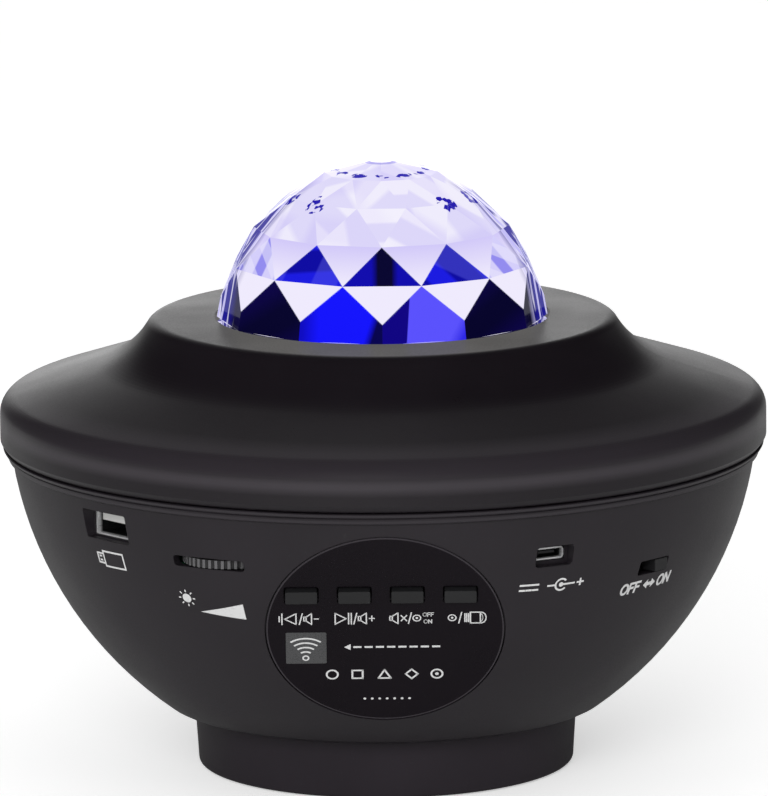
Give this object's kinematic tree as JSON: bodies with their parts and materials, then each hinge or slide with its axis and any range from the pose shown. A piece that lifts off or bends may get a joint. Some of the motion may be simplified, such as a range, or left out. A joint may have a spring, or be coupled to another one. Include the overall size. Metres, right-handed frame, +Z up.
{
  "type": "night light projector",
  "caption": "Star night light projector: bowl base on a speaker foot, brimmed cover, faceted clear dome with a turning rippled lens, front key panel, dimmer wheel, USB sockets, slide switch.",
  "frame": {"origin": "centre of the rubber feet's underside, on the table, on the axis of the bowl and dome", "axes": "+Z up along the dome's axis, -Y towards the control panel, +X to the right seen from the front"},
  "size_m": [0.168, 0.168, 0.1336],
  "materials": {
    "cover_plastic": "fine satin texture on black injection moulding",
    "bowl_plastic": "fine satin texture on black injection moulding",
    "foot_plastic": "fine satin texture on black injection moulding",
    "foot_rubber": "soft black rubber",
    "panel_plastic": "semi-gloss black plate",
    "window_plastic": "dark grey infrared window",
    "button_plastic": "satin dark key",
    "dome_clear": "clear faceted acrylic",
    "ring_plastic": "black moulding",
    "lens_clear": "clear rippled acrylic",
    "grating_film": "thin diffraction disc",
    "gear_plastic": "natural acetal",
    "spring_steel": "spring steel",
    "motor_metal": "plated motor can",
    "alloy": "finned aluminium",
    "lamp_white": "white solder mask",
    "lamp_chip": "yellow phosphor over a white carrier",
    "laser_brass": "turned brass barrel",
    "laser_glass": "small collimating lens",
    "board_green": "green solder mask",
    "chip_black": "moulded black package",
    "shield_metal": "pressed shield can",
    "capacitor_sleeve": "printed sleeve",
    "connector_nylon": "natural nylon",
    "wheel_plastic": "ridged black wheel",
    "dimmer_plate": "brown phenolic",
    "switch_case": "black moulding",
    "slider_plastic": "dark grey key",
    "socket_metal": "bright nickel",
    "tongue_white": "white insulator",
    "tongue_black": "black insulator",
    "basket_steel": "black pressed basket",
    "magnet_ferrite": "ferrite ring between zinc plates",
    "surround_rubber": "half-roll rubber",
    "cone_paper": "black pulp",
    "coil_wire": "enamelled winding",
    "screw_steel": "zinc plated"
  },
  "bodies": {
    "housing": {"top_cover": "cover_plastic", "bottom_shell": "bowl_plastic", "base_cover": "foot_plastic", "rubber_feet": "foot_rubber", "control_panel": "panel_plastic", "crystal_dome": "dome_clear", "dome_ring": "ring_plastic", "rotor_clip": "spring_steel", "gear_motor": "motor_metal", "lamp_housing": "ring_plastic", "heat_sink": "alloy", "led_board": "lamp_white", "led_emitters": "lamp_chip", "led_lenses": "lens_clear", "laser_module": "laser_brass", "laser_lens": "laser_glass", "chassis_plate": "ring_plastic", "main_board": "board_green", "board_chips": "chip_black", "radio_module": "shield_metal", "capacitors": "capacitor_sleeve", "connectors": "connector_nylon", "control_board": "board_green", "tact_switches": "shield_metal", "ir_receiver": "chip_black", "ir_window": "window_plastic", "dimmer_base": "dimmer_plate", "switch_body": "switch_case", "usb_a_shell": "socket_metal", "usb_a_tongue": "tongue_white", "micro_usb_shell": "socket_metal", "micro_usb_tongue": "tongue_black", "speaker_frame": "basket_steel", "speaker_magnet": "magnet_ferrite", "speaker_surround": "surround_rubber", "base_screws": "screw_steel", "frame_screws": "screw_steel", "cover_screws": "screw_steel", "dome_screws": "screw_steel", "lamp_screws": "screw_steel", "motor_screws": "screw_steel", "board_screws": "screw_steel", "speaker_screws": "screw_steel"},
    "wave_rotor": {"wave_lens": "lens_clear", "star_grating": "grating_film", "rotor_gear": "gear_plastic"},
    "pinion": {"drive_pinion": "gear_plastic", "motor_shaft": "spring_steel"},
    "dimmer_wheel": {"brightness_wheel": "wheel_plastic"},
    "power_slider": {"switch_slider": "slider_plastic"},
    "previous_button": {"button_previous": "button_plastic"},
    "play_button": {"button_play": "button_plastic"},
    "mute_button": {"button_mute": "button_plastic"},
    "mode_button": {"button_mode": "button_plastic"},
    "cone": {"speaker_cone": "cone_paper", "voice_coil": "coil_wire"}
  },
  "joints": [
    {"name": "wave_rotor_spin", "type": "hinge", "parent": "housing", "child": "wave_rotor", "pos_m": [0, 0, 0.08343], "axis": [0, 0, 1], "continuous": true},
    {"name": "drive_pinion_spin", "type": "hinge", "parent": "housing", "child": "pinion", "pos_m": [0, 0.0396, 0.08343], "axis": [0, 0, 1], "continuous": true},
    {"name": "brightness_wheel_turn", "type": "hinge", "parent": "housing", "child": "dimmer_wheel", "pos_m": [-0.03313, -0.06128, 0.0586], "axis": [0, 0, 1], "range_deg": [-135, 135]},
    {"name": "power_switch_slide", "type": "slide", "parent": "housing", "child": "power_slider", "axis": [0.6665, 0.7455, 0], "range_m": [-0.0044, 0]},
    {"name": "button_previous_press", "type": "slide", "parent": "housing", "child": "previous_button", "axis": [0, 0.8789, 0.4771], "range_m": [0, 0.0005], "stiffness_N_per_m": 300},
    {"name": "button_play_press", "type": "slide", "parent": "housing", "child": "play_button", "axis": [0, 0.8789, 0.4771], "range_m": [0, 0.0005], "stiffness_N_per_m": 300},
    {"name": "button_mute_press", "type": "slide", "parent": "housing", "child": "mute_button", "axis": [0, 0.8789, 0.4771], "range_m": [0, 0.0005], "stiffness_N_per_m": 300},
    {"name": "button_mode_press", "type": "slide", "parent": "housing", "child": "mode_button", "axis": [0, 0.8789, 0.4771], "range_m": [0, 0.0005], "stiffness_N_per_m": 300},
    {"name": "speaker_cone_stroke", "type": "slide", "parent": "housing", "child": "cone", "axis": [0, 0, 1], "range_m": [-0.001, 0.001], "stiffness_N_per_m": 1500}
  ],
  "couplings": [
    {"joint": "drive_pinion_spin", "follows": "wave_rotor_spin", "ratio": -4.5}
  ]
}
